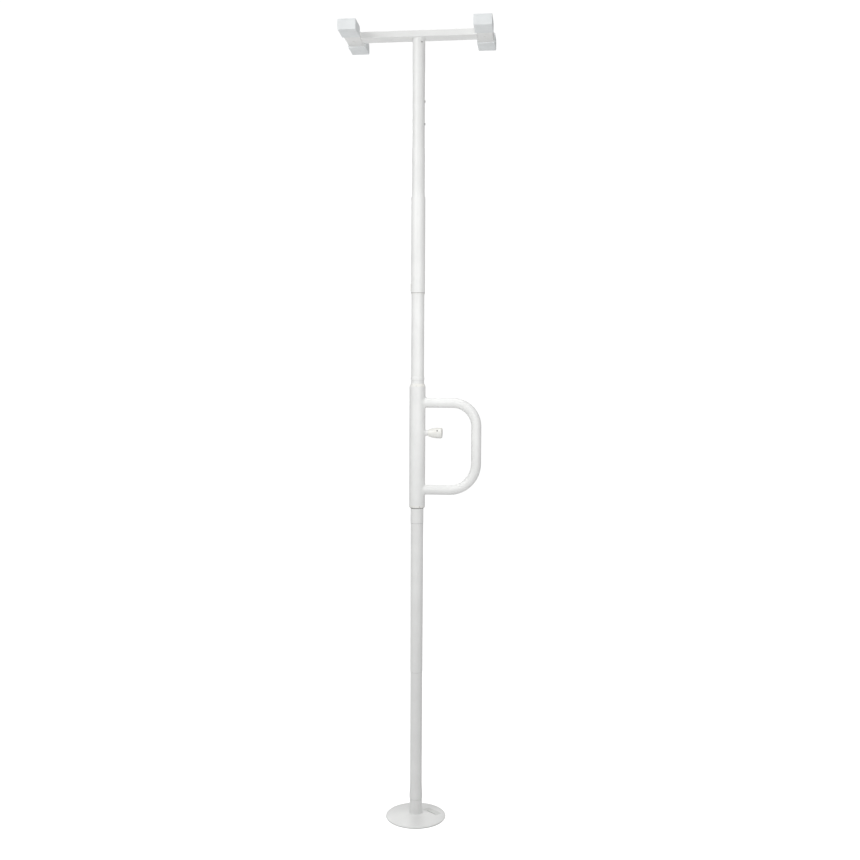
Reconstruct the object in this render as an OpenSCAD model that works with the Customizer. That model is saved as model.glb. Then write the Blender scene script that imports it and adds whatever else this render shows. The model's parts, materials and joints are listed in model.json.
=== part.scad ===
// Floor-to-ceiling grab pole with a turning D handle.
// Millimetres. +Z is up. The origin is the centre of the base's underside, on the floor.
// +X is the direction of the ceiling bar and of the handle.

/* [Installed height] */
// Floor to the top of the ceiling caps
installed_h = 2442; // [2335:1:2444]

/* [Base] */
// Radius of the round floor plate
base_r = 94; // [80:0.5:120]
// Height of the plate's rim above its rubber pad
rim_h = 4; // [3.5:0.5:6]
// Height of the domed plate where it meets the socket
dome_z = 12.5; // [11:0.5:18]
// Thickness of the rubber pad
pad_t = 1.5; // [1:0.5:2]

/* [Tension jack] */
// Radius of the jack screw
jack_r = 11; // [9:0.5:12]
// Top of the fixed socket
socket_top_z = 58; // [50:0.5:62]
// Largest radius of the flared turning sleeve
flare_r = 20.4; // [20:0.1:22]
// Height of the turning sleeve
flare_h = 54; // [45:1:70]

/* [Tubes] */
// Inner radius of the lower, the middle and the upper tubes
bore_r = 17; // [16.8:0.1:17]
// Radius of the lower tube
lower_r = 18.7; // [18.5:0.1:19.2]
// Radius of the middle tube
middle_r = 19.4; // [19.2:0.1:20]
// Radius of the post that carries the handle
post_r = 19.9; // [19.8:0.05:20.2]
// Radius of the inner telescoping tube
inner_r = 19.8; // [19.6:0.1:20]
// Radius of the outer telescoping tube
outer_r = 21.5; // [21.5:0.1:22.5]
// Radius of the first upper tube, which stands in the outer telescoping tube
upper_r = 19.5; // [19.2:0.1:19.7]
// Radius of the second upper tube
slim_r = 18.6; // [18.4:0.1:19]
// Radius of the stub under the ceiling bar
stub_r = 19.1; // [18.8:0.1:19.5]
// Wall of the other tubes
wall = 2; // [1.8:0.1:2.2]
// Seam between the lower and the middle tube
low_seam_z = 463; // [400:1:600]
// Seam between the middle tube and the post
mid_seam_z = 932; // [880:1:940]
// Seam between the post and the inner telescoping tube
top_seam_z = 1376; // [1375:1:1400]

/* [Handle] */
// Height of the middle of the turning sleeve
sleeve_mid_z = 1173.5; // [1165:0.5:1175]
// Length of the turning sleeve with its two bushes
sleeve_len = 385; // [370:1:386]
// Radius of the turning sleeve
sleeve_r = 24.6; // [24.5:0.1:27]
// Distance between the two arms of the D
arm_gap = 270; // [250:1:280]
// Radius of the D's tube
grip_r = 15.5; // [13:0.5:16]
// Distance from the pole's axis to the grip's axis
grip_x = 183; // [160:0.5:200]
// Upper bend radius of the D at the tube's axis
bend_top_r = 73; // [45:1:85]
// Lower bend radius of the D at the tube's axis
bend_low_r = 83; // [45:1:95]

/* [Plunger] */
// Height of the plunger above the middle of the sleeve
plunger_dz = 40; // [20:0.5:60]
// Distance from the pole's axis to the knob's end
knob_end_x = 77.5; // [70:0.5:85]
// Radius of the knob at its outer end
knob_r = 17; // [14:0.5:20]

/* [Ceiling head] */
// Distance from the pole's axis to each cross tube's axis
cross_x = 201.5; // [150:0.5:220]
// Half of the head's depth over the caps
cross_half = 118.7; // [100:0.1:118.7]
// Width of the rectangular tube
bar_w = 50; // [40:1:50]
// Height of the rectangular tube
bar_h = 20; // [18:1:25]
// Length of a ceiling cap
cap_len = 72; // [50:1:90]
// Side wall of a cap
cap_side = 3; // [2:0.5:4]
// Bottom and end wall of a cap
cap_wall = 4; // [3:0.5:5]
// Thick top wall of a cap, which presses on the ceiling
cap_top = 8; // [5:0.5:10]

/* [Hidden] */
$fn = 96;

// Clearances
fit = 0.05;
slip = 0.1;
gap = 0.3;
cut = 1;

// Screws
screw_r = 2.5;
screw_bore_r = screw_r + slip;
screw_reach = 35;
sunk = 0.2;

// Tension jack
collar_r = 19.5;
socket_z = 8;
jack_top_z = 185;
seam_gap = 0.6;
nut_z = socket_top_z + seam_gap;
flare_top_z = nut_z + flare_h;
nut_r = 15.9;
flange_t = 0.8;
lower_z = flare_top_z + flange_t;

// Tubes
post_in_r = post_r - wall;
inner_in_r = inner_r - wall;
spigot_wall = 2.5;
spigot_half = 63;
inner_z = top_seam_z + 0.4;
inner_top_z = 1720;
outer_in_r = outer_r - 1.2;

// Upper assembly, measured down from the ceiling
head_z = installed_h - cap_top - bar_h;
stub_seam_z = installed_h - 127;
high_seam_z = installed_h - 357;
outer_top_z = installed_h - 505;
outer_z = installed_h - 800;
upper_z = installed_h - 570;
button_low_z = installed_h - 284;
button_high_z = installed_h - 216;
head_screw_z = installed_h - 41;
outer_screw_z = outer_top_z - 32;
stub_spigot_z = stub_seam_z - 115;
stub_spigot_top_z = stub_seam_z + 55;

// Lock window in the outer tube, and the tab in its lower part
window_w = 15;
window_z = outer_z + 7;
window_h = 50;
tab_w = 13;
tab_h = 21;
tab_z = window_z + 1.5;
tab_r = outer_r + 2;
hole_pitch = 35;
hole_count = 5;

// Snap buttons
button_r = 4;
button_flange_r = 5.5;
button_back_x = 11;
button_end_x = slim_r + 2;

// Handle
sleeve_z = sleeve_mid_z - sleeve_len / 2;
sleeve_top_z = sleeve_mid_z + sleeve_len / 2;
sleeve_in_r = sleeve_r - wall;
low_flange_h = 7.5;
top_flange_h = 9;
bush_len = 30;
arm_mid_z = sleeve_mid_z - 1.5;
arm_low_z = arm_mid_z - arm_gap / 2;
arm_top_z = arm_mid_z + arm_gap / 2;

// Plunger
plunger_z = sleeve_mid_z + plunger_dz;
barrel_r = 8.8;
barrel_in_r = 5.2;
guide_r = 6;
neck_x = 34;
pin_tip_x = 21.5;
groove_r = 21.2;
groove_w = 9;
cap_x = 42;
stem_r = 2.5;
stem_end_x = 70;
knob_small_r = 11.2;
knob_bore_end_x = 56;
knob_pin_x = 63.3;
knob_pin_r = 2;
knob_pin_end_r = 12.5;

// Head
bar_corner_r = 3;
cap_corner_r = 3;
ceiling_screw_r = 2.25;

// A plain tube from z0 to z1.
module tube(r_out, r_in, z0, z1) {
    translate([0, 0, z0])
        difference() {
            cylinder(r = r_out, h = z1 - z0);
            translate([0, 0, -cut]) cylinder(r = r_in, h = z1 - z0 + 2 * cut);
        }
}

// A solid of revolution about Z from a list of [radius, height] points.
module turned(points) {
    rotate_extrude() polygon(points);
}

// A coupling tube with one radius below its seam and one above.
module stepped_spigot(z0, seam, z1, r_low, r_high, r_in) {
    turned([[r_in, z0], [r_low, z0], [r_low, seam], [r_high, seam], [r_high, z1], [r_in, z1]]);
}

// The cutter for a radial screw at the back of the pole.
module screw_bore(z) {
    translate([0, 0, z]) rotate([-90, 0, 0]) cylinder(r = screw_bore_r, h = 30);
}

// A flush socket screw that runs from radius r0 to radius r1 along +Y.
module radial_screw(z, r0, r1, r = screw_r) {
    translate([0, 0, z]) rotate([-90, 0, 0]) translate([0, 0, r0])
        difference() {
            cylinder(r = r, h = r1 - r0);
            translate([0, 0, r1 - r0 - r]) cylinder(r = r * 0.55, h = r + cut, $fn = 6);
        }
}

// A rounded rectangle with true arcs at its corners.
module rounded_rect(w, h, r) {
    square([w - 2 * r, h], center = true);
    square([w, h - 2 * r], center = true);
    for (x = [-1, 1])
        for (y = [-1, 1])
            translate([x * (w / 2 - r), y * (h / 2 - r)]) circle(r = r);
}

// The section of the rectangular tube.
module bar_section() {
    difference() {
        rounded_rect(bar_w, bar_h, bar_corner_r);
        rounded_rect(bar_w - 2 * wall, bar_h - 2 * wall, bar_corner_r - wall / 2);
    }
}

// A helical spring along +Z, with its first end at the origin.
module coil_spring(r, wire_r, length, turns) {
    sides = 6;
    steps = turns * 18;
    points = [
        for (i = [0:steps])
            for (j = [0:sides - 1])
                let (a = 360 * turns * i / steps, b = 360 * j / sides, rr = r + wire_r * cos(b))
                [rr * cos(a), rr * sin(a), wire_r + (length - 2 * wire_r) * i / steps + wire_r * sin(b)]
    ];
    lower = [
        for (i = [0:steps - 1])
            for (j = [0:sides - 1])
                [i * sides + j, (i + 1) * sides + j, i * sides + (j + 1) % sides]
    ];
    upper = [
        for (i = [0:steps - 1])
            for (j = [0:sides - 1])
                [(i + 1) * sides + j, (i + 1) * sides + (j + 1) % sides, i * sides + (j + 1) % sides]
    ];
    first = [for (j = [0:sides - 1]) j];
    last = [for (j = [0:sides - 1]) steps * sides + sides - 1 - j];
    polyhedron(points = points, faces = concat([first], lower, upper, [last]));
}

// The D's centre line given a radius: two arms, two bends and the grip.
module d_rod(r) {
    top_x = grip_x - bend_top_r;
    low_x = grip_x - bend_low_r;
    translate([0, 0, arm_top_z]) rotate([0, 90, 0]) cylinder(r = r, h = top_x);
    translate([0, 0, arm_low_z]) rotate([0, 90, 0]) cylinder(r = r, h = low_x);
    translate([grip_x, 0, arm_low_z + bend_low_r])
        cylinder(r = r, h = arm_gap - bend_low_r - bend_top_r);
    translate([top_x, 0, arm_top_z - bend_top_r]) rotate([90, 0, 0])
        rotate_extrude(angle = 90) translate([bend_top_r, 0]) circle(r = r);
    translate([low_x, 0, arm_low_z + bend_low_r]) rotate([90, 0, 0]) rotate([0, 0, -90])
        rotate_extrude(angle = 90) translate([bend_low_r, 0]) circle(r = r);
}

// A rod along +X at the plunger's height.
module plunger_rod(x0, x1, r) {
    translate([x0, 0, plunger_z]) rotate([0, 90, 0]) cylinder(r = r, h = x1 - x0);
}

// The cutter for a snap button's hole on the +X side.
module button_bore(z) {
    translate([0, 0, z]) rotate([0, 90, 0]) cylinder(r = button_r + gap, h = 30);
}

// A domed button in the wall of the upper tubes, with a flange that keeps it in.
module snap_button(z) {
    flange_x = button_back_x + 1.4;
    translate([0, 0, z]) rotate([0, 90, 0]) turned([
        [0, button_back_x], [button_flange_r, button_back_x], [button_flange_r, flange_x],
        [button_r, flange_x], [button_r, button_end_x - 1], [button_r - 0.4, button_end_x - 0.4],
        [button_r - 1.4, button_end_x], [0, button_end_x]
    ]);
}

// The V spring that pushes a snap button out.
module button_spring(z) {
    leaf_t = 0.8;
    front_x = button_back_x - leaf_t;
    back_x = -14.4;
    apex_x = -8;
    translate([0, 0, z]) rotate([90, 0, 0]) linear_extrude(height = 8, center = true) {
        polygon([
            [front_x, 10], [button_back_x, 10], [button_back_x, -8],
            [apex_x + leaf_t, -40], [apex_x, -40], [front_x, -8]
        ]);
        polygon([[back_x, 10], [back_x + leaf_t, 10], [apex_x + leaf_t, -40], [apex_x, -40]]);
    }
}

// A cross tube at the given side of the head, -1 or 1.
module cross_tube(side) {
    half = cross_half - cap_wall;
    translate([side * cross_x, 0, head_z + bar_h / 2])
        difference() {
            rotate([90, 0, 0]) linear_extrude(height = 2 * half, center = true) bar_section();
            cylinder(r = ceiling_screw_r, h = 2 * bar_h, center = true);
        }
}

// A slip-on ceiling cap at the given side and end of the head, each -1 or 1.
module ceiling_cap(side, end) {
    w = bar_w + 2 * cap_side;
    h = bar_h + cap_wall + cap_top;
    cavity_len = cap_len - cap_wall;
    translate([side * cross_x, end * (cross_half - cap_len / 2), installed_h - h / 2])
        difference() {
            intersection() {
                rotate([90, 0, 0]) linear_extrude(height = cap_len, center = true)
                    rounded_rect(w, h, cap_corner_r);
                linear_extrude(height = h + cut, center = true)
                    rounded_rect(w, cap_len, cap_corner_r);
            }
            translate([0, -end * (cap_wall / 2 + cut / 2), (cap_wall - cap_top) / 2])
                rotate([90, 0, 0]) linear_extrude(height = cavity_len + cut, center = true)
                    rounded_rect(bar_w + 2 * slip, bar_h + 2 * slip, bar_corner_r + slip);
        }
}

// Rubber pad under the plate.
module floor_pad() {
    color("dimgray") cylinder(r = base_r - 2, h = pad_t);
}

// Domed steel plate with a rounded rim and a counterbore for the socket.
module base_plate() {
    top_z = pad_t + rim_h;
    rise = dome_z - top_z;
    dome_r = (base_r * base_r + rise * rise) / (2 * rise);
    color("gainsboro") difference() {
        intersection() {
            turned([
                [0, pad_t], [base_r - 1, pad_t], [base_r, pad_t + 1], [base_r, top_z - 2],
                [base_r - 0.6, top_z - 0.8], [base_r - 2.2, top_z + 0.1], [base_r - 5, dome_z], [0, dome_z]
            ]);
            translate([0, 0, dome_z - dome_r]) sphere(r = dome_r, $fn = 240);
        }
        cylinder(r = jack_r + slip, h = dome_z + cut);
        translate([0, 0, socket_z]) cylinder(r = collar_r + slip, h = dome_z);
    }
}

// Fixed socket that holds the jack screw.
module base_socket() {
    color("gainsboro") turned([
        [jack_r + slip, socket_z], [collar_r, socket_z], [collar_r, socket_top_z - 0.6],
        [collar_r - 0.6, socket_top_z], [jack_r + slip, socket_top_z]
    ]);
}

// Jack screw that stands up inside the pole.
module jack_screw() {
    color("silver") turned([
        [0, pad_t], [jack_r, pad_t], [jack_r, jack_top_z - 2], [jack_r - 2, jack_top_z], [0, jack_top_z]
    ]);
}

// Steel nut that runs on the jack screw.
module tension_nut() {
    color("silver") tube(nut_r, jack_r + fit, nut_z + 1, flare_top_z + 20);
}

// Flared painted sleeve that turns the nut.
module tension_sleeve() {
    in_r = nut_r + slip;
    color("gainsboro") turned([
        [in_r, nut_z], [flare_r - 0.8, nut_z], [flare_r, nut_z + 1.6], [flare_r, nut_z + 10],
        [lower_r, flare_top_z - 4], [lower_r, flare_top_z], [in_r, flare_top_z]
    ]);
}

// Nylon bush between the turning sleeve and the foot of the pole.
module foot_bush() {
    in_r = nut_r + slip;
    bush_r = bore_r - slip;
    color("white") turned([
        [in_r, flare_top_z], [lower_r - sunk, flare_top_z], [lower_r - sunk, lower_z], [bush_r, lower_z],
        [bush_r, lower_z + 24], [in_r, lower_z + 24]
    ]);
}

module lower_tube() {
    color("whitesmoke") difference() {
        tube(lower_r, bore_r, lower_z, low_seam_z);
        screw_bore(low_seam_z - screw_reach);
    }
}

module lower_spigot() {
    r = bore_r - slip;
    color("silver") difference() {
        tube(r, r - spigot_wall, low_seam_z - spigot_half, low_seam_z + spigot_half);
        for (side = [-1, 1]) screw_bore(low_seam_z + side * screw_reach);
    }
}

module middle_tube() {
    color("whitesmoke") difference() {
        tube(middle_r, bore_r, low_seam_z + seam_gap, mid_seam_z);
        screw_bore(low_seam_z + screw_reach);
        screw_bore(mid_seam_z - screw_reach);
    }
}

module middle_spigot() {
    r_low = bore_r - slip;
    color("silver") difference() {
        stepped_spigot(mid_seam_z - spigot_half, mid_seam_z, mid_seam_z + spigot_half,
            r_low, post_in_r - slip, r_low - spigot_wall);
        for (side = [-1, 1]) screw_bore(mid_seam_z + side * screw_reach);
    }
}

// Post that the handle turns on.
module handle_post() {
    color("whitesmoke") difference() {
        tube(post_r, post_in_r, mid_seam_z + seam_gap, top_seam_z);
        screw_bore(mid_seam_z + screw_reach);
        screw_bore(top_seam_z - screw_reach);
    }
}

// Ring on the post whose groove takes the plunger's tip.
module index_ring() {
    half = 15;
    out_r = sleeve_in_r - 0.5;
    in_r = post_r + slip;
    color("silver") turned([
        [in_r, plunger_z - half], [out_r, plunger_z - half], [out_r, plunger_z - groove_w / 2],
        [groove_r, plunger_z - groove_w / 2], [groove_r, plunger_z + groove_w / 2],
        [out_r, plunger_z + groove_w / 2], [out_r, plunger_z + half], [in_r, plunger_z + half]
    ]);
}

// Ring on the post that carries the handle's weight.
module thrust_ring() {
    top_z = sleeve_top_z - top_flange_h - bush_len - gap;
    color("silver") tube(sleeve_in_r - 0.5, post_r + slip, top_z - 8, top_z);
}

module post_spigot() {
    r_high = inner_in_r - slip;
    color("silver") difference() {
        stepped_spigot(top_seam_z - spigot_half, top_seam_z, top_seam_z + spigot_half,
            post_in_r - slip, r_high, r_high - spigot_wall);
        for (side = [-1, 1]) screw_bore(top_seam_z + side * screw_reach);
    }
}

// Inner telescoping tube, with its row of lock holes on the -X side.
module inner_tube() {
    first_z = tab_z + tab_h / 2;
    color("whitesmoke") difference() {
        tube(inner_r, inner_in_r, inner_z, inner_top_z);
        screw_bore(top_seam_z + screw_reach);
        for (i = [0:hole_count - 1])
            translate([0, 0, first_z - i * hole_pitch]) rotate([0, -90, 0]) cylinder(r = 4.5, h = 30);
    }
}

// Small ring that trims the foot of the inner tube.
module inner_tube_ring() {
    r = inner_r + 1.1;
    in_r = inner_r + slip;
    color("whitesmoke") turned([
        [in_r, inner_z], [r, inner_z], [r, inner_z + 8], [r - 0.5, inner_z + 9.5], [in_r, inner_z + 9.5]
    ]);
}

// Screws that hold the three lower spigots.
module spigot_screws() {
    in_r = bore_r - spigot_wall;
    color("silver") {
        radial_screw(low_seam_z - screw_reach, in_r, lower_r - sunk);
        radial_screw(low_seam_z + screw_reach, in_r, middle_r - sunk);
        radial_screw(mid_seam_z - screw_reach, in_r, middle_r - sunk);
        radial_screw(mid_seam_z + screw_reach, in_r, post_r - sunk);
        radial_screw(top_seam_z - screw_reach, in_r, post_r - sunk);
        radial_screw(top_seam_z + screw_reach, in_r, inner_r - sunk);
    }
}

// Turning sleeve, bored for the plunger.
module handle_sleeve() {
    color("whitesmoke") difference() {
        tube(sleeve_r, sleeve_in_r, sleeve_z + low_flange_h, sleeve_top_z - top_flange_h);
        plunger_rod(sleeve_in_r - 3, sleeve_r + 3, barrel_r + slip);
    }
}

// Bores for the two small bush screws, seen from the front.
module bush_screw_bores() {
    rotate([0, 0, 176]) translate([0, 0, sleeve_top_z - top_flange_h + 1.8])
        rotate([-90, 0, 0]) cylinder(r = 1.3, h = 30);
    rotate([0, 0, 206]) translate([0, 0, sleeve_z + low_flange_h / 2])
        rotate([-90, 0, 0]) cylinder(r = 1.6, h = 30);
}

// Bush whose flange tapers from the sleeve down to the post.
module upper_bush() {
    flange_r = sleeve_r - 0.2;
    flange_z = sleeve_top_z - top_flange_h;
    in_r = post_r + fit;
    bush_r = sleeve_in_r - slip;
    color("white") difference() {
        turned([
            [in_r, flange_z - bush_len], [bush_r, flange_z - bush_len], [bush_r, flange_z],
            [flange_r, flange_z], [flange_r - 0.4, flange_z + 1.6], [in_r + 0.6, sleeve_top_z],
            [in_r, sleeve_top_z]
        ]);
        bush_screw_bores();
    }
}

module lower_bush() {
    flange_r = sleeve_r - 0.2;
    flange_z = sleeve_z + low_flange_h;
    in_r = post_r + fit;
    bush_r = sleeve_in_r - slip;
    color("white") difference() {
        turned([
            [in_r, sleeve_z], [flange_r - 1.5, sleeve_z], [flange_r, sleeve_z + 1.5], [flange_r, flange_z],
            [bush_r, flange_z], [bush_r, flange_z + bush_len], [in_r, flange_z + bush_len]
        ]);
        bush_screw_bores();
    }
}

module bush_screws() {
    color("silver") {
        rotate([0, 0, 176]) radial_screw(sleeve_top_z - top_flange_h + 1.8, 21, sleeve_r - 1.8, 1.2);
        rotate([0, 0, 206]) radial_screw(sleeve_z + low_flange_h / 2, 21, sleeve_r - 0.6, 1.5);
    }
}

// The bent D, hollow, and coped to the sleeve.
module d_handle() {
    color("whitesmoke") difference() {
        d_rod(grip_r);
        d_rod(grip_r - wall);
        translate([0, 0, sleeve_z]) cylinder(r = sleeve_r + slip, h = sleeve_len);
    }
}

// Barrel of the spring plunger.
module plunger_housing() {
    inner_x = sleeve_in_r + gap;
    color("gainsboro") difference() {
        union() {
            plunger_rod(inner_x, neck_x, barrel_r);
            plunger_rod(neck_x, cap_x, guide_r);
        }
        plunger_rod(inner_x - cut, cap_x, 4 + fit);
        plunger_rod(inner_x + 4, cap_x + cut, barrel_in_r);
    }
}

module plunger_cap() {
    color("silver") difference() {
        plunger_rod(cap_x, cap_x + 2, guide_r);
        plunger_rod(cap_x - cut, cap_x + 2 + cut, stem_r + fit);
    }
}

module plunger_spring() {
    start_x = sleeve_in_r + gap + 6.2;
    color("silver") translate([start_x, 0, plunger_z]) rotate([0, 90, 0])
        coil_spring(r = 4.2, wire_r = 0.45, length = cap_x - start_x, turns = 5);
}

// Locking pin with a tip, a collar and a stem.
module plunger_pin() {
    collar_x = sleeve_in_r + gap + 4.1;
    color("silver") {
        plunger_rod(pin_tip_x, collar_x, 4);
        plunger_rod(collar_x, collar_x + 2, 4.9);
        plunger_rod(collar_x + 2, stem_end_x, stem_r);
    }
}

// Cutter for the pin that crosses the knob.
module knob_pin_bore(r) {
    translate([knob_pin_x, 0, plunger_z]) rotate([64, 0, 0]) cylinder(r = r, h = 40, center = true);
}

// Flared pull knob, hollow where it slides over the barrel's guide.
module plunger_knob() {
    start_x = neck_x + gap;
    mid_r = (knob_small_r + knob_r) / 2 + 0.5;
    color("ivory") difference() {
        translate([0, 0, plunger_z]) rotate([0, 90, 0]) turned([
            [0, start_x], [knob_small_r - 0.8, start_x], [knob_small_r, start_x + 1],
            [mid_r, start_x + 12], [knob_r - 0.4, start_x + 26], [knob_r, knob_end_x - 8],
            [knob_r, knob_end_x - 4], [knob_r - 1, knob_end_x - 1.4], [knob_r - 3.2, knob_end_x],
            [0, knob_end_x]
        ]);
        plunger_rod(start_x - cut, knob_bore_end_x, guide_r + 0.4);
        plunger_rod(start_x - cut, stem_end_x + sunk, stem_r + slip);
        knob_pin_bore(knob_pin_r + slip);
    }
}

// Roll pin through the knob and the stem, sunk below the knob's surface.
module knob_pin() {
    color("silver") difference() {
        knob_pin_bore(knob_pin_r);
        knob_pin_bore(knob_pin_r - 0.8);
        plunger_rod(knob_bore_end_x, stem_end_x + sunk, stem_r + slip);
        difference() {
            plunger_rod(knob_pin_x - 5, knob_pin_x + 5, 30);
            plunger_rod(knob_pin_x - 6, knob_pin_x + 6, knob_pin_end_r);
        }
    }
}

// Outer telescoping tube with the lock's window on its -X side.
module outer_tube() {
    color("whitesmoke") difference() {
        tube(outer_r, outer_in_r, outer_z + 2 + seam_gap, outer_top_z);
        translate([0, 0, window_z + window_h / 2]) rotate([0, -90, 0])
            linear_extrude(height = 30) rounded_rect(window_h, window_w, 4);
        screw_bore(outer_screw_z);
    }
}

// Bush with a bright lip at the foot of the outer tube.
module guide_bush() {
    in_r = inner_r + fit;
    lip_z = outer_z + 2;
    color("white") turned([
        [in_r, outer_z], [outer_r - 0.5, outer_z], [outer_r, outer_z + 0.6], [outer_r, lip_z],
        [outer_in_r - fit, lip_z], [outer_in_r - fit, lip_z + 4.5], [in_r, lip_z + 4.5]
    ]);
}

// Ring that fills the step between the outer tube and the upper tube.
module reducer_ring() {
    color("gainsboro") difference() {
        tube(outer_in_r - slip, upper_r + slip, upper_z + 2, outer_top_z);
        screw_bore(outer_screw_z);
    }
}

// Flat spring that holds the lock tab in its window.
module lock_leaf() {
    leaf_z = tab_z + tab_h + gap;
    color("silver") translate([-outer_r + 0.8, -4, leaf_z])
        cube([0.5, 8, window_z + window_h - leaf_z]);
}

// Lock tab, proud of the outer tube.
module lock_tab() {
    color("gainsboro") intersection() {
        tube(tab_r, inner_r + 0.4, tab_z, tab_z + tab_h);
        translate([0, 0, tab_z + tab_h / 2]) rotate([0, -90, 0])
            linear_extrude(height = 30) rounded_rect(tab_h, tab_w, 3);
    }
}

module upper_tube_low() {
    color("whitesmoke") difference() {
        tube(upper_r, bore_r, upper_z, high_seam_z);
        screw_bore(high_seam_z - screw_reach);
        screw_bore(outer_screw_z);
    }
}

module upper_tube_high() {
    color("whitesmoke") difference() {
        tube(slim_r, bore_r, high_seam_z, stub_seam_z);
        button_bore(button_low_z);
        button_bore(button_high_z);
    }
}

module upper_spigot() {
    r = bore_r - slip;
    color("silver") difference() {
        tube(r, r - wall, high_seam_z - 75, high_seam_z + 95);
        screw_bore(high_seam_z - screw_reach);
        button_bore(button_low_z);
    }
}

module stub_spigot() {
    r = bore_r - slip;
    color("silver") difference() {
        tube(r, r - wall, stub_spigot_z, stub_spigot_top_z);
        screw_bore(stub_seam_z + screw_reach);
        button_bore(button_high_z);
    }
}

module head_screw_bore(r) {
    rotate([0, 0, -145]) translate([0, 0, head_screw_z]) rotate([-90, 0, 0]) cylinder(r = r, h = 30);
}

module head_stub() {
    color("whitesmoke") difference() {
        tube(stub_r, bore_r, stub_seam_z, head_z);
        screw_bore(stub_seam_z + screw_reach);
        head_screw_bore(screw_bore_r);
    }
}

// Screws of the upper assembly.
module upper_screws() {
    in_r = bore_r - slip - wall;
    color("silver") {
        radial_screw(high_seam_z - screw_reach, in_r, upper_r - sunk);
        radial_screw(stub_seam_z + screw_reach, in_r, stub_r - sunk);
        radial_screw(outer_screw_z, bore_r, outer_r - sunk);
    }
}

module button_spring_low() {
    color("silver") button_spring(button_low_z);
}

module button_spring_high() {
    color("silver") button_spring(button_high_z);
}

module snap_button_low() {
    color("silver") snap_button(button_low_z);
}

module snap_button_high() {
    color("silver") snap_button(button_high_z);
}

// Short post under the ceiling bar, inside the stub.
module head_post() {
    r = bore_r - slip;
    color("gainsboro") difference() {
        tube(r, r - 4, stub_spigot_top_z + 4, head_z);
        head_screw_bore(screw_bore_r);
    }
}

module head_screw() {
    in_r = bore_r - slip - 4;
    color("silver") rotate([0, 0, -145]) radial_screw(head_screw_z, in_r, stub_r - sunk);
}

module crossbar() {
    length = 2 * (cross_x - bar_w / 2);
    color("whitesmoke") translate([0, 0, head_z + bar_h / 2]) rotate([90, 0, 90])
        linear_extrude(height = length, center = true) bar_section();
}

module cross_tube_left() {
    color("whitesmoke") cross_tube(-1);
}

module cross_tube_right() {
    color("whitesmoke") cross_tube(1);
}

module cap_left_front() {
    color("azure") ceiling_cap(-1, -1);
}

module cap_left_back() {
    color("azure") ceiling_cap(-1, 1);
}

module cap_right_front() {
    color("azure") ceiling_cap(1, -1);
}

module cap_right_back() {
    color("azure") ceiling_cap(1, 1);
}

floor_pad();
base_plate();
base_socket();
jack_screw();
tension_nut();
tension_sleeve();
foot_bush();
lower_tube();
lower_spigot();
middle_tube();
middle_spigot();
handle_post();
index_ring();
thrust_ring();
post_spigot();
inner_tube();
inner_tube_ring();
spigot_screws();
handle_sleeve();
upper_bush();
lower_bush();
bush_screws();
d_handle();
plunger_housing();
plunger_cap();
plunger_spring();
plunger_pin();
plunger_knob();
knob_pin();
outer_tube();
guide_bush();
reducer_ring();
lock_leaf();
lock_tab();
upper_tube_low();
upper_tube_high();
upper_spigot();
stub_spigot();
head_stub();
upper_screws();
button_spring_low();
button_spring_high();
snap_button_low();
snap_button_high();
head_post();
head_screw();
crossbar();
cross_tube_left();
cross_tube_right();
cap_left_front();
cap_left_back();
cap_right_front();
cap_right_back();
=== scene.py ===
"""Looks for a white floor-to-ceiling grab pole with a turning D handle."""
import json
import math

import bmesh
import bpy
from mathutils import Matrix, Vector


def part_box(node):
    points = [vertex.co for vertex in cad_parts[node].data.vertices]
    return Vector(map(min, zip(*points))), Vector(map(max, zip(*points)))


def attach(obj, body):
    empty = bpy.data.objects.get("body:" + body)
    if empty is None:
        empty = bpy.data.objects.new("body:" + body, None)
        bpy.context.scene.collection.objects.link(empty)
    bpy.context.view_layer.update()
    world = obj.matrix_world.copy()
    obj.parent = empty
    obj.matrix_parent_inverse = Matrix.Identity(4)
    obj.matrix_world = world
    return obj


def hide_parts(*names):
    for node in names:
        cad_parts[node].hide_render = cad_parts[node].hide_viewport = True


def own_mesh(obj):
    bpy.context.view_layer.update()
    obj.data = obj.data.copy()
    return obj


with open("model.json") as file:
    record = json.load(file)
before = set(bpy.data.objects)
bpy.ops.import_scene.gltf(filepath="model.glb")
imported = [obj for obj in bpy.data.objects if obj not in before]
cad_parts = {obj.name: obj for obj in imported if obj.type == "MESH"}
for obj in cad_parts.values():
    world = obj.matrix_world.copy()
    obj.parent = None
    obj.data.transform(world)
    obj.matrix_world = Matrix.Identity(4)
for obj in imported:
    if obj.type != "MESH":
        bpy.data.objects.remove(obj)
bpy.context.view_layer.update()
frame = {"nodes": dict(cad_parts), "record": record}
nodes = frame["nodes"]

MM = 0.001

# Stage: how strongly the backdrop lights the pole, and how bright the camera sees the floor.
AMBIENT = 0.355
FLOOR_GLOW = 0.76

# Base plate: the height of its rolled rim, and the hole through its middle.
RIM_HEIGHT = 4 * MM
BORE_RADIUS = 11.1 * MM

# The D's two bends, at its centre line.
BEND_TOP = 73 * MM
BEND_LOW = 83 * MM

# Ceiling caps: the pocket for the cross tube, the wall at its end and the tread's thickness.
CAVITY_WIDTH, CAVITY_HEIGHT, CAVITY_DROP = 50.2 * MM, 20.2 * MM, 2 * MM
CAP_WALL = 4 * MM
TREAD = 4.5 * MM

# Grey rings of painted shade: the wiper under the sleeve paints the shade line beneath it, and each gasket
# fills a seam's gap with its painted shade.
WIPER_SHADE_DEPTH, WIPER_SHADE_HEIGHT = 1.0 * MM, 2.1 * MM
JOINT_GAP = 0.6 * MM
SEAM_SHADE_DEPTH = 1.2 * MM

# The knob's hollow pin, and how far its ends lie below the knob's surface.
PIN_RADIUS, PIN_BORE, PIN_SUNK = 2 * MM, 1.1 * MM, 0.8 * MM
PIN_TILT = math.radians(64)

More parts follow.
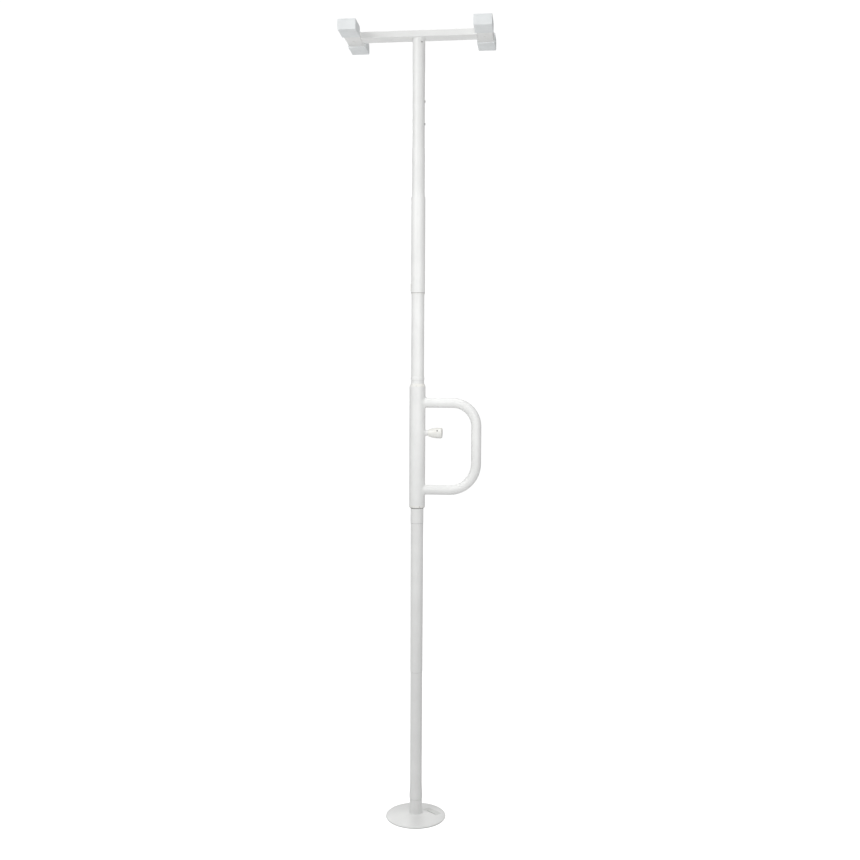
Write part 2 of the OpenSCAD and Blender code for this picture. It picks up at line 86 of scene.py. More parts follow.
# Blank label on the base, and the stripe along one edge of it.
LABEL_LENGTH, LABEL_WIDTH, LABEL_THICK = 56 * MM, 27 * MM, 0.15 * MM
LABEL_CENTRE = Vector((50, 20, 0)) * MM
LABEL_TURN = math.radians(-36)
LABEL_SUNK = 0.3 * MM
STRIPE_LENGTH, STRIPE_WIDTH, STRIPE_THICK = 34 * MM, 1.8 * MM, 0.22 * MM
STRIPE_SHIFT = Vector((4 * MM, -9.5 * MM, 0))

# A hair's breadth: the gap round the base's socket, and how far a weld's thin edges stand off the metal.
HAIR = 0.05 * MM

# How far each weld spreads from its corner.
SOCKET_WELD, HEAD_WELD, BAR_WELD = 4.5 * MM, 2.6 * MM, 1.5 * MM
ARM_WELD, BARREL_WELD = 3.6 * MM, 3.0 * MM

UP = Vector((0, 0, 1))
scene = bpy.context.scene


# ---------------------------------------------------------------- materials

def linear(r, g, b):
    """A linear RGBA colour from display values of 0 to 1."""
    def one(v):
        return v / 12.92 if v <= 0.04045 else ((v + 0.055) / 1.055) ** 2.4
    return (one(r), one(g), one(b), 1.0)


class Shader:
    """A small helper that adds nodes and links to a new material."""

    def __init__(self, name):
        self.material = bpy.data.materials.new(name)
        self.material.use_nodes = True
        self.tree = self.material.node_tree
        self.surface = self.tree.nodes["Principled BSDF"]
        self.place = self.add("ShaderNodeTexCoord").outputs["Object"]

    def add(self, kind, **values):
        node = self.tree.nodes.new(kind)
        for key, value in values.items():
            setattr(node, key, value)
        return node

    def link(self, source, target):
        self.tree.links.new(source, target)

    def noise(self, scale, detail=3.0, roughness=0.55, stretch=(1, 1, 1)):
        """Noise with the given number of features a metre."""
        mapping = self.add("ShaderNodeMapping")
        mapping.inputs["Scale"].default_value = stretch
        self.link(self.place, mapping.inputs["Vector"])
        node = self.add("ShaderNodeTexNoise")
        node.inputs["Scale"].default_value = scale
        node.inputs["Detail"].default_value = detail
        node.inputs["Roughness"].default_value = roughness
        self.link(mapping.outputs["Vector"], node.inputs["Vector"])
        return node.outputs["Fac"]

    def ramp(self, source, low, high, start=0.35, end=0.65):
        """The source spread from start..end to low..high."""
        node = self.add("ShaderNodeMapRange")
        node.inputs["From Min"].default_value = start
        node.inputs["From Max"].default_value = end
        node.inputs["To Min"].default_value = low
        node.inputs["To Max"].default_value = high
        self.link(source, node.inputs["Value"])
        return node.outputs["Result"]

    def mix(self, fac, a, b):
        """A colour between a and b, each a colour or a socket."""
        node = self.add("ShaderNodeMix", data_type="RGBA")
        self.link(fac, node.inputs["Factor"])
        for value, socket in ((a, node.inputs[6]), (b, node.inputs[7])):
            if isinstance(value, tuple):
                socket.default_value = value
            else:
                self.link(value, socket)
        return node.outputs[2]

    def bump(self, layers):
        """Bump from (height socket, depth in metres) pairs, coarse to fine."""
        normal = None
        for height, depth in layers:
            node = self.add("ShaderNodeBump")
            node.inputs["Distance"].default_value = depth
            node.inputs["Strength"].default_value = 1.0
            self.link(height, node.inputs["Height"])
            if normal is not None:
                self.link(normal, node.inputs["Normal"])
            normal = node.outputs["Normal"]
        self.link(normal, self.surface.inputs["Normal"])

    def rough(self, socket):
        self.link(socket, self.surface.inputs["Roughness"])

    def colour(self, socket):
        self.link(socket, self.surface.inputs["Base Color"])

    def set(self, **values):
        for key, value in values.items():
            self.surface.inputs[key.replace("_", " ")].default_value = value


def scuffs(s, density=0.68):
    """Sparse fine scratches: 1 on a scratch, 0 elsewhere."""
    long = s.noise(420, 2.0, 0.5, (1.0, 1.0, 0.06))
    where = s.noise(14, 2.0)
    lines = s.ramp(long, 0, 1, density, density + 0.03)
    patches = s.ramp(where, 0, 1, 0.52, 0.62)
    both = s.add("ShaderNodeMath", operation="MULTIPLY")
    s.link(lines, both.inputs[0])
    s.link(patches, both.inputs[1])
    return both.outputs[0]


def powder_coat(name, tone, dust=0.03):
    """White powder coat: orange peel, a fine grain, faint mottling and a few rubbed lines."""
    s = Shader(name)
    base = linear(*tone)
    dull = linear(*(c * (1 - dust) for c in tone))
    rubbed = linear(*(c * 0.97 for c in tone))
    mottled = s.mix(s.ramp(s.noise(9, 4.0), 0, 1), base, dull)
    s.colour(s.mix(scuffs(s), mottled, rubbed))
    s.rough(s.ramp(s.noise(55, 3.0), 0.34, 0.46))
    s.bump([
        (s.noise(330, 2.0), 0.000012),
        (s.noise(1500, 1.0), 0.000006),
    ])
    s.set(Specular_IOR_Level=0.5, Coat_Weight=0.05, Coat_Roughness=0.3)
    return s.material


def moulded_rubber(name, tone):
    """Pale moulded rubber: matt, slightly cloudy, with a fine spark-eroded grain."""
    s = Shader(name)
    base = linear(*tone)
    cloudy = linear(*(c * 0.97 for c in tone))
    s.colour(s.mix(s.ramp(s.noise(26, 4.0), 0, 1), base, cloudy))
    s.rough(s.ramp(s.noise(90, 3.0), 0.5, 0.64))
    s.bump([(s.noise(240, 2.0), 0.00006), (s.noise(1900, 2.0), 0.00004)])
    s.set(Specular_IOR_Level=0.38)
    return s.material


def dark_rubber(name, tone):
    """Grey rubber of the floor pad, with dust on it. In a darker tone it also gives the painted shade of the
    grey rings round the pole and the label's printed stripe.
    """
    s = Shader(name)
    base = linear(*tone)
    dusty = linear(*(min(1, c * 1.25) for c in tone))
    s.colour(s.mix(s.ramp(s.noise(60, 5.0), 0, 1), base, dusty))
    s.rough(s.ramp(s.noise(120, 3.0), 0.66, 0.85))
    s.bump([(s.noise(700, 3.0), 0.00012)])
    return s.material


def nylon(name, tone):
    """Turned or moulded nylon: satin, with faint tool lines round it."""
    s = Shader(name)
    base = linear(*tone)
    aged = linear(tone[0] * 0.985, tone[1] * 0.98, tone[2] * 0.97)
    s.colour(s.mix(s.ramp(s.noise(35, 3.0), 0, 1), base, aged))
    s.rough(s.ramp(s.noise(160, 3.0), 0.38, 0.52))
    s.bump([(s.noise(900, 2.0, 0.5, (0.15, 0.15, 1.6)), 0.00004)])
    return s.material


def knob_plastic(name, tone):
    """Warm off-white moulded plastic, handled and a little polished."""
    s = Shader(name)
    base = linear(*tone)
    handled = linear(tone[0] * 0.985, tone[1] * 0.98, tone[2] * 0.968)
    s.colour(s.mix(s.ramp(s.noise(70, 4.0), 0, 1), base, handled))
    s.rough(s.ramp(s.noise(140, 3.0), 0.3, 0.46))
    s.bump([(s.noise(500, 2.0), 0.00005), (s.noise(2600, 1.0), 0.00002)])
    s.set(Specular_IOR_Level=0.45)
    return s.material


def bare_metal(name, tone, low, high, stretch):
    """Plated or spring steel with machining lines along one direction."""
    s = Shader(name)
    base = linear(*tone)
    stained = linear(*(c * 0.82 for c in tone))
    s.colour(s.mix(s.ramp(s.noise(180, 4.0), 0, 1), base, stained))
    s.rough(s.ramp(s.noise(800, 3.0, 0.6, stretch), low, high))
    s.bump([(s.noise(1200, 2.0, 0.5, stretch), 0.00003)])
    s.set(Metallic=1.0)
    return s.material


WHITE = (0.955, 0.957, 0.952)
materials = {
    "white_powder_coat": powder_coat("powder_coat_white", WHITE),
    "cap_rubber": moulded_rubber("rubber_pale_blue_white", (0.945, 0.957, 0.96)),
    "pad_rubber": dark_rubber("rubber_grey", (0.70, 0.70, 0.69)),
    "white_nylon": nylon("nylon_white", (0.95, 0.95, 0.94)),
    "knob_plastic": knob_plastic("plastic_warm_white", (0.950, 0.950, 0.938)),
    "zinc_steel": bare_metal("steel_zinc", (0.86, 0.86, 0.85), 0.26, 0.42, (1, 1, 0.1)),
    "spring_steel": bare_metal("steel_spring", (0.52, 0.52, 0.52), 0.22, 0.36, (0.1, 1, 1)),
    "black_steel": bare_metal("steel_blackened", (0.13, 0.13, 0.13), 0.4, 0.6, (1, 0.1, 1)),
    # Mid grey: painted shade on the grey rings round the pole, and print on the label's stripe.
    "shade_and_print_grey": dark_rubber("mid_grey_shade_and_print", (0.50, 0.50, 0.49)),
    "label": moulded_rubber("film_grey_white", (0.905, 0.91, 0.90)),
}
slot_of = {s["node"]: s["material_slot"] for s in frame["record"]["subparts"]}
slot_look = {"lower_spigot": "black_steel", "middle_spigot": "black_steel"}


def dress(piece, slot):
    """Gives the piece that one material."""
    piece.data.materials.clear()
    piece.data.materials.append(materials[slot])


# ---------------------------------------------------------------- mesh tools

def finish_mesh(name, bm, slot, body, smooth_deg=32, look=None):
    """Makes the bmesh a piece of that slot, riding on body. look names its material if not the slot's."""
    bmesh.ops.recalc_face_normals(bm, faces=bm.faces)
    mesh = bpy.data.meshes.new(name)
    bm.to_mesh(mesh)
    bm.free()
    piece = bpy.data.objects.new(name, mesh)
    scene.collection.objects.link(piece)
    mesh.shade_smooth()
    mesh.set_sharp_from_angle(angle=math.radians(smooth_deg))
    dress(piece, look or slot)
    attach(piece, body)
    return piece


def rounded(outline, steps=5):
    """An outline of (x, y, radius) corners with each corner turned into an arc."""
    points = []
    count = len(outline)
    for i, (x, y, radius) in enumerate(outline):
        here = Vector((x, y))
        if radius <= 0:
            points.append(here)
            continue
        back = Vector(outline[i - 1][:2]) - here
        ahead = Vector(outline[(i + 1) % count][:2]) - here
        half = back.angle(ahead) / 2
        if abs(half - math.pi / 2) < 0.01:
            points.append(here)
            continue
        reach = radius / math.tan(half)
        start = here + back.normalized() * reach
        end = here + ahead.normalized() * reach
        hub = here + (back.normalized() + ahead.normalized()).normalized() * radius / math.sin(half)
        a0 = math.atan2(start.y - hub.y, start.x - hub.x)
        a1 = math.atan2(end.y - hub.y, end.x - hub.x)
        turn = (a1 - a0 + math.pi) % (2 * math.pi) - math.pi
        for k in range(steps + 1):
            a = a0 + turn * k / steps
            points.append(hub + radius * Vector((math.cos(a), math.sin(a))))
    return points


def skin(bm, rings):
    """Adds a band of quads between each ring of vertices and the next."""
    for low, high in zip(rings, rings[1:]):
        for k in range(len(low)):
            n = (k + 1) % len(low)
            bm.faces.new([low[k], low[n], high[n], high[k]])


def lathe(outline, segments=128, closed=True):
    """A bmesh turned about Z from (radius, height) points; points on the axis are merged."""
    bm = bmesh.new()
    rings = []
    for r, z in outline:
        if r < 1e-7:
            rings.append([bm.verts.new((0, 0, z))] * segments)
            continue
        angles = [2 * math.pi * k / segments for k in range(segments)]
        rings.append([bm.verts.new((r * math.cos(a), r * math.sin(a), z)) for a in angles])
    pairs = list(zip(rings, rings[1:]))
    if closed:
        pairs.append((rings[-1], rings[0]))
    for low, high in pairs:
        for k in range(segments):
            n = (k + 1) % segments
            corners = [low[k], low[n], high[n], high[k]]
            unique = list(dict.fromkeys(corners))
            if len(unique) > 2:
                bm.faces.new(unique)
    return bm


def sweep(path, side, radius, sides):
    """A bmesh rod along path with closed ends. side is the direction of each ring's first point."""
    bm = bmesh.new()
    count = len(path)
    rings = []
    for i, point in enumerate(path):
        along = (path[min(i + 1, count - 1)] - path[max(i - 1, 0)]).normalized()
        first = (side - along * side.dot(along)).normalized()
        second = along.cross(first)
        rings.append([
            bm.verts.new(point + radius * (
                first * math.cos(2 * math.pi * k / sides) + second * math.sin(2 * math.pi * k / sides)))
            for k in range(sides)
        ])
    skin(bm, rings)
    bm.faces.new(rings[0][::-1])
    bm.faces.new(rings[-1])
    return bm


def weld_size(size, ripples, seed):
    """A weld's size round its path, from 0 to 1: even ripples with a slow swell."""
    def at(t):
        ripple = 0.05 * math.cos(2 * math.pi * ripples * t)
        swell = 0.08 * math.sin(2 * math.pi * 3 * t + seed) + 0.05 * math.sin(2 * math.pi * 7 * t + 2 * seed)
        return size * (1 + ripple + swell)
    return at


def closed_band(rings):
    """A bmesh ring of quads from equal lists of points, each list a closed profile."""
    bm = bmesh.new()
    made = [[bm.verts.new(p) for p in points] for points in rings]
    skin(bm, made + made[:1])
    return bm


def weld_profile(r, f, buried, sunk, lift=0.0):
    """A weld's closed outline at radius r as (radius, height), with a concave face of size f."""
    profile = [(r - buried, -sunk), (r + f, -sunk)]
    for i in range(9):
        b = math.radians(90 * i / 8)
        profile.append((r + HAIR + f * (1 - math.sin(b)), lift + f * (1 - math.cos(b))))
    profile.append((r - buried, f))
    return profile


def soften(node, width, segments=2, angle=40):
    """Rounds the sharp edges of a CAD node that is kept as it is."""
    piece = nodes[node]
    modifier = piece.modifiers.new("soft_edges", "BEVEL")
    modifier.width = width
    modifier.segments = segments
    modifier.limit_method = "ANGLE"
    modifier.angle_limit = math.radians(angle)
    modifier.use_clamp_overlap = True
    modifier.harden_normals = False
    piece.data.shade_smooth()
    piece.data.set_sharp_from_angle(angle=math.radians(30))


def middle(node):
    """The centre of the CAD node's box."""
    low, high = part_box(node)
    return (low + high) / 2


def radius_of(node):
    """Half the CAD node's width along Y."""
    low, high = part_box(node)
    return (high.y - low.y) / 2


# ---------------------------------------------------------------- pieces

def make_base():
    """Domed plate with a rolled rim, the weld at the socket's foot, and the blank label."""
    low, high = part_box("base_plate")
    socket_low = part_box("base_socket")[0]
    r = radius_of("base_plate")
    socket_r = radius_of("base_socket")
    rim_z = low.z + RIM_HEIGHT
    rise = high.z - rim_z
    inner = socket_r + HAIR
    underside = [(BORE_RADIUS, low.z, 0), (r - 4 * MM, low.z, 0)]
    rim = [(r - 1 * MM, low.z, 0.5 * MM), (r, low.z + 1 * MM, 0.5 * MM), (r, rim_z - 0.5 * MM, 2.0 * MM)]
    dome = [(r * k / 16, rim_z + rise * (1 - (k / 16) ** 2)) for k in range(4, 16)]
    hub = [(inner, high.z - 0.3 * MM, 0), (inner, socket_low.z, 0), (BORE_RADIUS, socket_low.z, 0)]
    outline = underside + rim + [(x, z, 0) for x, z in reversed(dome)] + hub
    plate = finish_mesh("base_plate_dished", lathe(rounded(outline)), "white_powder_coat", "base")
    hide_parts("base_plate")
    ring_fillet("weld_base_socket", socket_r, high.z - 0.4 * MM, 1, SOCKET_WELD, "base", 0.4)
    surface = (r, rim_z, rise)
    make_label("blank_label", "label", LABEL_CENTRE, (LABEL_LENGTH, LABEL_WIDTH, LABEL_THICK), surface)
    stripe_at = LABEL_CENTRE + Matrix.Rotation(LABEL_TURN, 4, "Z") @ STRIPE_SHIFT
    make_label("label_stripe", "shade_and_print_grey", stripe_at, (STRIPE_LENGTH, STRIPE_WIDTH, STRIPE_THICK), surface)


def make_label(name, look, centre, size, surface):
    """A sheet of size (length, width, thickness) on the base's dome.

    surface is (r, rim_z, rise): the dome's height falls from rise above rim_z to nothing at r.
    """
    length, width, thick = size
    r, rim_z, rise = surface
    across, along = 6, 14
    turn = Matrix.Rotation(LABEL_TURN, 4, "Z")
    bm = bmesh.new()
    layers = []
    for lift in (-LABEL_SUNK, thick):
        rows = []
        for i in range(along + 1):
            row = []
            for j in range(across + 1):
                flat = Vector((length * (i / along - 0.5), width * (j / across - 0.5), 0))
                p = centre + turn @ flat
                row.append(bm.verts.new((p.x, p.y, rim_z + rise * (1 - (p.length / r) ** 2) + lift)))
            rows.append(row)
        layers.append(rows)
    for rows in layers:
        for i in range(along):
            for j in range(across):
                bm.faces.new([rows[i][j], rows[i + 1][j], rows[i + 1][j + 1], rows[i][j + 1]])
    edges = []
    for rows in layers:
        right, left = [row[-1] for row in rows[1:]], [row[0] for row in rows[-2:0:-1]]
        edges.append(rows[0] + right + rows[-1][-2::-1] + left)
    skin(bm, edges)
    finish_mesh(name, bm, "white_nylon", "base", look=look)


def ring_fillet(name, r, z, up, size, body, seed):
    """A concave weld round the pole at height z, rising (up = 1) or hanging (up = -1)."""
    at = weld_size(size, 52, seed)
    count = 416
    rings = []
    for k in range(count):
        a = 2 * math.pi * k / count
        profile = weld_profile(r, at(k / count), 0.5 * MM, 0.5 * MM)
        rings.append([Vector((p * math.cos(a), p * math.sin(a), z + up * h)) for p, h in profile])
    return finish_mesh(name, closed_band(rings), "white_powder_coat", body, 60)


def saddle_weld(name, arm_r, z, size, ripples, lump, seed):
    """A concave weld where a rod along X of radius arm_r leaves the sleeve. lump thickens its top."""
    sleeve_r = radius_of("handle_sleeve")
    at = weld_size(size, ripples, seed)
    count = 320
    rings = []
    for k in range(count):
        a = 2 * math.pi * k / count
        from_top = math.remainder(a - math.pi / 2, 2 * math.pi)
        f = at(k / count) * (1 + lump * math.exp(-(from_top / 0.16) ** 2))
        ring = []
        for p, lift in weld_profile(arm_r, f, 0.6 * MM, 0.8 * MM, HAIR):
            y = p * math.cos(a)
            ring.append(Vector((math.sqrt(sleeve_r ** 2 - y ** 2) + lift, y, z + p * math.sin(a))))
        rings.append(ring)
    return finish_mesh(name, closed_band(rings), "white_powder_coat", "handle", 60)


def handle_path():
    """The D's centre line from the lower arm's foot to the upper arm's foot."""
    low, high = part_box("d_handle")
    r = radius_of("d_handle")
    grip_x, bottom, top = high.x - r, low.z + r, high.z - r
    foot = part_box("handle_sleeve")[1].x - 3.2 * MM
    low_centre = Vector((grip_x - BEND_LOW, 0, bottom + BEND_LOW))
    top_centre = Vector((grip_x - BEND_TOP, 0, top - BEND_TOP))
    path = [Vector((foot + (low_centre.x - foot) * k / 10, 0, bottom)) for k in range(10)]
    for k in range(33):
        a = math.radians(-90 + 90 * k / 32)
        path.append(low_centre + BEND_LOW * Vector((math.cos(a), 0, math.sin(a))))
    for k in range(1, 12):
        path.append(Vector((grip_x, 0, low_centre.z + (top_centre.z - low_centre.z) * k / 12)))
    for k in range(33):
        a = math.radians(90 * k / 32)
        path.append(top_centre + BEND_TOP * Vector((math.cos(a), 0, math.sin(a))))
    path += [Vector((top_centre.x + (foot - top_centre.x) * k / 10, 0, top)) for k in range(1, 11)]
    return path, r, bottom, top


def make_handle():
    """Bent D tube, the welds where it meets the sleeve and the one at the plunger's barrel."""
    path, r, bottom, top = handle_path()
    bm = sweep(path, Vector((0, 1, 0)), r, 64)
    grip = finish_mesh("d_handle_bent_tube", bm, "white_powder_coat", "handle", 60)
    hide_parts("d_handle")
    saddle_weld("weld_arm_lower", r, bottom, ARM_WELD, 40, 0.15, 1.3)
    saddle_weld("weld_arm_upper", r, top, ARM_WELD, 40, 0.55, 2.9)
    barrel_z = middle("plunger_housing").z
    saddle_weld("weld_plunger_barrel", radius_of("plunger_housing"), barrel_z, BARREL_WELD, 30, 0.0, 0.6)


def make_shade_ring(name, inner, outer, z0, z1, body):
    """A thin grey ring round the pole between heights z0 and z1, its grey painted shade."""
    edge = 0.15 * MM
    outline = [(inner, z0, 0), (outer, z0, edge), (outer, z1, edge), (inner, z1, 0)]
    finish_mesh(name, lathe(rounded(outline)), "pad_rubber", body, look="shade_and_print_grey")


def make_shade_rings():
    """Painted shade as grey rings: the wiper under the handle's sleeve, and the gaskets in three seams of
    the pole.
    """
    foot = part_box("lower_bush")[0].z - 0.05 * MM
    inner = radius_of("handle_post") + 0.15 * MM
    # The wiper's grey paints the shade line under the sleeve.
    make_shade_ring("sleeve_foot_shade", inner, inner + WIPER_SHADE_DEPTH, foot - WIPER_SHADE_HEIGHT, foot, "handle")
    # Each gasket's grey paints the shade in its seam's gap.
    for above, below in (("middle_tube", "lower_tube"), ("handle_post", "middle_tube")):
        outer = radius_of(below) - 0.1 * MM
        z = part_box(above)[0].z
        make_shade_ring(above + "_seam_shade", outer - SEAM_SHADE_DEPTH, outer, z - JOINT_GAP, z, "pole")
    outer = radius_of("outer_tube") + 0.08 * MM
    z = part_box("outer_tube")[0].z
    make_shade_ring("outer_tube_seam_shade", outer - SEAM_SHADE_DEPTH, outer, z - JOINT_GAP, z + JOINT_GAP, "upper")


def make_roll_pin():
    """The hollow pin through the knob, its dark ends just below the knob's surface."""
    reach = radius_of("plunger_knob") - PIN_SUNK
    bm = lathe([(PIN_BORE, -reach), (PIN_RADIUS, -reach), (PIN_RADIUS, reach), (PIN_BORE, reach)], 32)
    turn = Matrix.Translation(middle("knob_pin")) @ Matrix.Rotation(PIN_TILT, 4, "X")
    bmesh.ops.transform(bm, matrix=turn, verts=bm.verts)
    pin = finish_mesh("knob_roll_pin", bm, slot_of["knob_pin"], "plunger", look="black_steel")
    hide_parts("knob_pin")


def make_spring(node, body, pushed_end):
    """The CAD's spring copied as a piece with a mesh of its own. pushed_end is -1 or 1 along X."""
    low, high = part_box(node)
    bm = bmesh.new()
    bm.from_mesh(nodes[node].data)
    bmesh.ops.transform(bm, matrix=nodes[node].matrix_world, verts=bm.verts)
    spring = finish_mesh(node + "_flexing", bm, slot_of[node], body)
    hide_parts(node)
    fixed = middle(node)
    fixed.x = low.x if pushed_end > 0 else high.x
    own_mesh(spring)


def make_springs():
    """The plunger's coil spring and the V springs behind the two snap buttons."""
    make_spring("plunger_spring", "handle", -1)
    make_spring("button_spring_low", "upper", 1)
    make_spring("button_spring_high", "upper", 1)


def make_caps():
    """Slip-on ceiling caps: rounded ends, a lip at the mouth and a ribbed tread on top."""
    for node in ("cap_left_front", "cap_left_back", "cap_right_front", "cap_right_back"):
        low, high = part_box(node)
        centre = (low + high) / 2
        end = 1 if centre.y > 0 else -1
        bm = cap_body(high - low, end)
        add_tread(bm, high - low)
        bmesh.ops.translate(bm, vec=centre, verts=bm.verts)
        cap = finish_mesh(node + "_moulded", bm, "cap_rubber", "upper", 40)
        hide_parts(node)


def section(w, z0, z1, low_r, top_r, steps=5):
    """Points of a rounded rectangle between heights z0 and z1, counter-clockwise from +X."""
    return rounded([(w / 2, z0, low_r), (w / 2, z1, top_r), (-w / 2, z1, top_r), (-w / 2, z0, low_r)], steps)


def cap_body(size, end):
    """A cap below its tread as rings along Y: cavity floor, mouth, lip, outside and end."""
    w, length, h = size
    mouth = -end * length / 2
    z0, z1 = -h / 2, h / 2 - TREAD
    edge = 1.4 * MM
    lip, lip_slope = 3.2 * MM, 0.4 * MM
    inset = 0.3 * MM
    rings = []

    def outside(shrink, y):
        low_r = max(3 * MM - shrink, 0.8 * MM)
        points = section(w - 2 * shrink, z0 + shrink, z1 - shrink, low_r, 0.8 * MM)
        rings.append([(p.x, y, p.y) for p in points])

    def cavity(y):
        floor, ceiling = -CAVITY_DROP - CAVITY_HEIGHT / 2, -CAVITY_DROP + CAVITY_HEIGHT / 2
        points = section(CAVITY_WIDTH, floor, ceiling, 3 * MM, 3 * MM)
        rings.append([(p.x, y, p.y) for p in points])

    cavity(mouth + end * (length - CAP_WALL))
    cavity(mouth)
    outside(0.8 * MM, mouth)
    outside(0.2 * MM, mouth + end * 0.3 * MM)
    outside(0.0, mouth + end * 0.9 * MM)
    outside(0.0, mouth + end * lip)
    outside(inset, mouth + end * (lip + lip_slope))
    flat = length - edge
    for k in range(1, 8):
        outside(inset, mouth + end * (lip + lip_slope + (flat - lip) * k / 9))
    for k in range(6):
        a = math.radians(90 * k / 5)
        outside(inset + edge * (1 - math.cos(a)), mouth + end * (flat + edge * math.sin(a)))
    bm = bmesh.new()
    made = [[bm.verts.new(p) for p in points] for points in rings]
    skin(bm, made)
    bm.faces.new(made[0])
    bm.faces.new(made[-1])
    return bm


def add_tread(bm, size):
    """Adds the tread: a slab with upright ribs all round, level with the cap's top."""
    w, length, h = size
    corner, rib_spacing, rib_depth = 2 * MM, 0.6 * MM, 0.18 * MM
    signs = ((1, -1), (1, 1), (-1, 1), (-1, -1))
    outline = rounded([(x * w / 2, y * length / 2, corner) for x, y in signs], 4)
    points = []
    for i, p in enumerate(outline):
        ahead = outline[(i + 1) % len(outline)]
        steps = max(1, round((ahead - p).length / rib_spacing))
        points += [p.lerp(ahead, k / steps) for k in range(steps)]
    levels = ((h / 2 - TREAD - 0.2 * MM, 0.6 * MM), (h / 2 - 0.5 * MM, 0.35 * MM), (h / 2, 0.9 * MM))
    rings = []
    for z, inset in levels:
        ring = []
        for k, p in enumerate(points):
            depth = inset + rib_depth * (1 + math.cos(2 * math.pi * k / 5))
            ring.append(bm.verts.new((p.x * (1 - 2 * depth / w), p.y * (1 - 2 * depth / length), z)))
        rings.append(ring)
    skin(bm, rings)
    bm.faces.new(rings[0])
    bm.faces.new(rings[-1])


def bar_weld(name, x, side, y_half, z0, z1, seed):
    """A small concave weld where the crossbar's end meets a cross tube, side being -1 or 1."""
    outline = section(2 * y_half, z0, z1, 3 * MM, 3 * MM, 8)
    stations = []
    for i, p in enumerate(outline):
        ahead = outline[(i + 1) % len(outline)]
        steps = max(1, int((ahead - p).length / (0.5 * MM)))
        stations += [p.lerp(ahead, k / steps) for k in range(steps)]
    at = weld_size(BAR_WELD, 60, seed)
    # (off the tube's face, out from the bar's outline), each as a share of the weld's size
    profile = ((-0.6, 1.0), (-0.6, -0.4), (1.0, -0.4), (1.0, 0.04), (0.45, 0.14), (0.14, 0.45), (0.0, 1.0))
    rings = []
    for k, p in enumerate(stations):
        before, ahead = stations[k - 1], stations[(k + 1) % len(stations)]
        out = Vector((ahead.y - before.y, before.x - ahead.x)).normalized()
        f = at(k / len(stations))
        ring = []
        for lift, reach in profile:
            q = p + out * (f * reach)
            ring.append(Vector((x - side * f * lift, q.x, min(q.y, z1))))
        rings.append(ring)
    return finish_mesh(name, closed_band(rings), "white_powder_coat", "upper", 60)


def make_head_welds():
    """The welds at the crossbar's two ends, and the ring under its middle."""
    low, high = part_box("crossbar")
    y_half = (high.y - low.y) / 2
    bar_weld("weld_head_left", low.x, -1, y_half, low.z, high.z, 0.7)
    bar_weld("weld_head_right", high.x, 1, y_half, low.z, high.z, 2.1)
    ring_fillet("weld_head_stub", radius_of("head_stub"), low.z, -1, HEAD_WELD, "upper", 1.9)


make_base()
make_handle()
make_shade_rings()
make_roll_pin()
make_springs()
make_caps()
make_head_welds()

# The width in mm of the rounding on the sharp edges of the CAD pieces that show.
SOFT_EDGES = {
    "base_socket": 0.5, "tension_sleeve": 0.5, "lower_tube": 0.2, "middle_tube": 0.2, "handle_post": 0.2,
    "inner_tube": 0.5, "inner_tube_ring": 0.25, "handle_sleeve": 0.7, "upper_bush": 0.3, "lower_bush": 0.3,
    "outer_tube": 0.2, "guide_bush": 0.25, "upper_tube_low": 0.6, "upper_tube_high": 0.6, "head_stub": 0.6,
    "crossbar": 0.4, "cross_tube_left": 0.6, "cross_tube_right": 0.6, "lock_tab": 0.5,
    "plunger_housing": 0.4, "plunger_knob": 0.5, "floor_pad": 0.4, "reducer_ring": 0.4,
}
for name, piece in nodes.items():
    dress(piece, slot_look.get(name, slot_of[name]))
    if name in SOFT_EDGES:
        soften(name, SOFT_EDGES[name] * MM)
    else:
        piece.data.shade_smooth()
        piece.data.set_sharp_from_angle(angle=math.radians(30))


# ---------------------------------------------------------------- stage, light and camera

def seen_by_camera(tree):
    """1 on the camera's own rays and 0 on the rays that carry light, for the stage only."""
    return tree.nodes.new("ShaderNodeLightPath").outputs["Is Camera Ray"]


def spread(tree, fac, low, high):
    """The factor's 0 to 1 mapped to low..high."""
    node = tree.nodes.new("ShaderNodeMapRange")
    node.inputs["To Min"].default_value = low
    node.inputs["To Max"].default_value = high
    tree.links.new(fac, node.inputs["Value"])
    return node.outputs["Result"]


def make_floor():
    """A wide pale floor that runs out of sight, lit up to the backdrop's white."""
    bm = lathe([(0, 0), (1.0, 0), (4.0, 0), (60.0, 0)], 96, closed=False)
    mesh = bpy.data.meshes.new("floor")
    bm.to_mesh(mesh)
    bm.free()
    floor = bpy.data.objects.new("floor", mesh)
    scene.collection.objects.link(floor)
    s = Shader("floor_pale")
    s.colour(s.mix(s.ramp(s.noise(3, 3.0), 0, 1), linear(0.90, 0.90, 0.90), linear(0.89, 0.89, 0.89)))
    s.set(Roughness=0.9, Specular_IOR_Level=0.0, Emission_Color=(1, 1, 1, 1))
    s.link(spread(s.tree, seen_by_camera(s.tree), 0.06, FLOOR_GLOW), s.surface.inputs["Emission Strength"])
    floor.data.materials.append(s.material)


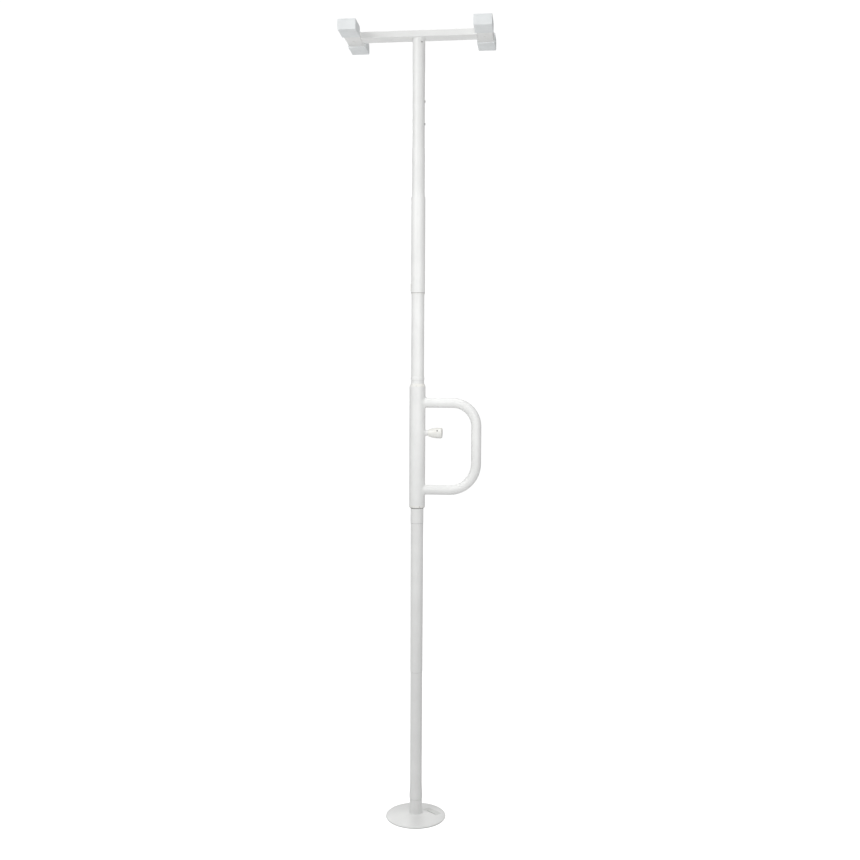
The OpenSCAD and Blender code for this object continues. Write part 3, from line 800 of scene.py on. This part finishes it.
def make_light(name, place, target, size, power):
    """A soft light at place, turned to target, that the camera doesn't see. power is in watts."""
    light = bpy.data.lights.new(name, "AREA")
    light.shape = "RECTANGLE"
    light.size, light.size_y = size
    light.energy = power
    lamp = bpy.data.objects.new(name, light)
    lamp.location = place
    lamp.rotation_euler = (Vector(target) - Vector(place)).to_track_quat("-Z", "Y").to_euler()
    lamp.visible_camera = False
    scene.collection.objects.link(lamp)


def make_world():
    """A white backdrop, and softer light from all round."""
    world = bpy.data.worlds.new("studio")
    world.use_nodes = True
    tree = world.node_tree
    background = tree.nodes["Background"]
    background.inputs["Color"].default_value = (1, 1, 1, 1)
    tree.links.new(spread(tree, seen_by_camera(tree), AMBIENT, 1.05), background.inputs["Strength"])
    scene.world = world


def make_camera():
    """The viewpoint: a little right of the handle's plane, at chest height, looking slightly down."""
    distance, eye_z = 3.1348, 1.3745
    swing, yaw, pitch, roll = (math.radians(a) for a in (7.244, 0.7165, -2.78, 0.2764))
    heading = math.pi / 2 - yaw + swing
    level = math.cos(pitch)
    forward = Vector((math.cos(heading) * level, math.sin(heading) * level, math.sin(pitch)))
    level_right = forward.cross(UP).normalized()
    level_up = level_right.cross(forward)
    right = level_right * math.cos(roll) + level_up * math.sin(roll)
    up = level_up * math.cos(roll) - level_right * math.sin(roll)
    camera = bpy.data.objects.new("camera", bpy.data.cameras.new("camera"))
    camera.data.sensor_width = 36.0
    camera.data.lens = 42.34
    camera.data.clip_end = 200
    turn = Matrix((right, up, -forward)).transposed().to_4x4()
    eye = (distance * math.sin(swing), -distance * math.cos(swing), eye_z)
    camera.matrix_world = Matrix.Translation(eye) @ turn
    scene.collection.objects.link(camera)
    scene.camera = camera


make_floor()
make_world()
make_light("key_left", (-1.7, -2.1, 2.8), (0, 0, 1.8), (1.8, 1.4), 30)
make_light("front", (0.42, -1.12, 1.64), (0, 0, 1.62), (0.9, 0.9), 6.2)
make_light("top", (0.2, -0.3, 7.0), (0, 0, 0), (2.4, 2.4), 112)
make_light("back", (-0.7, 2.7, 2.3), (0, 0, 1.3), (1.8, 1.4), 16)
make_camera()
scene.view_settings.view_transform = "Standard"
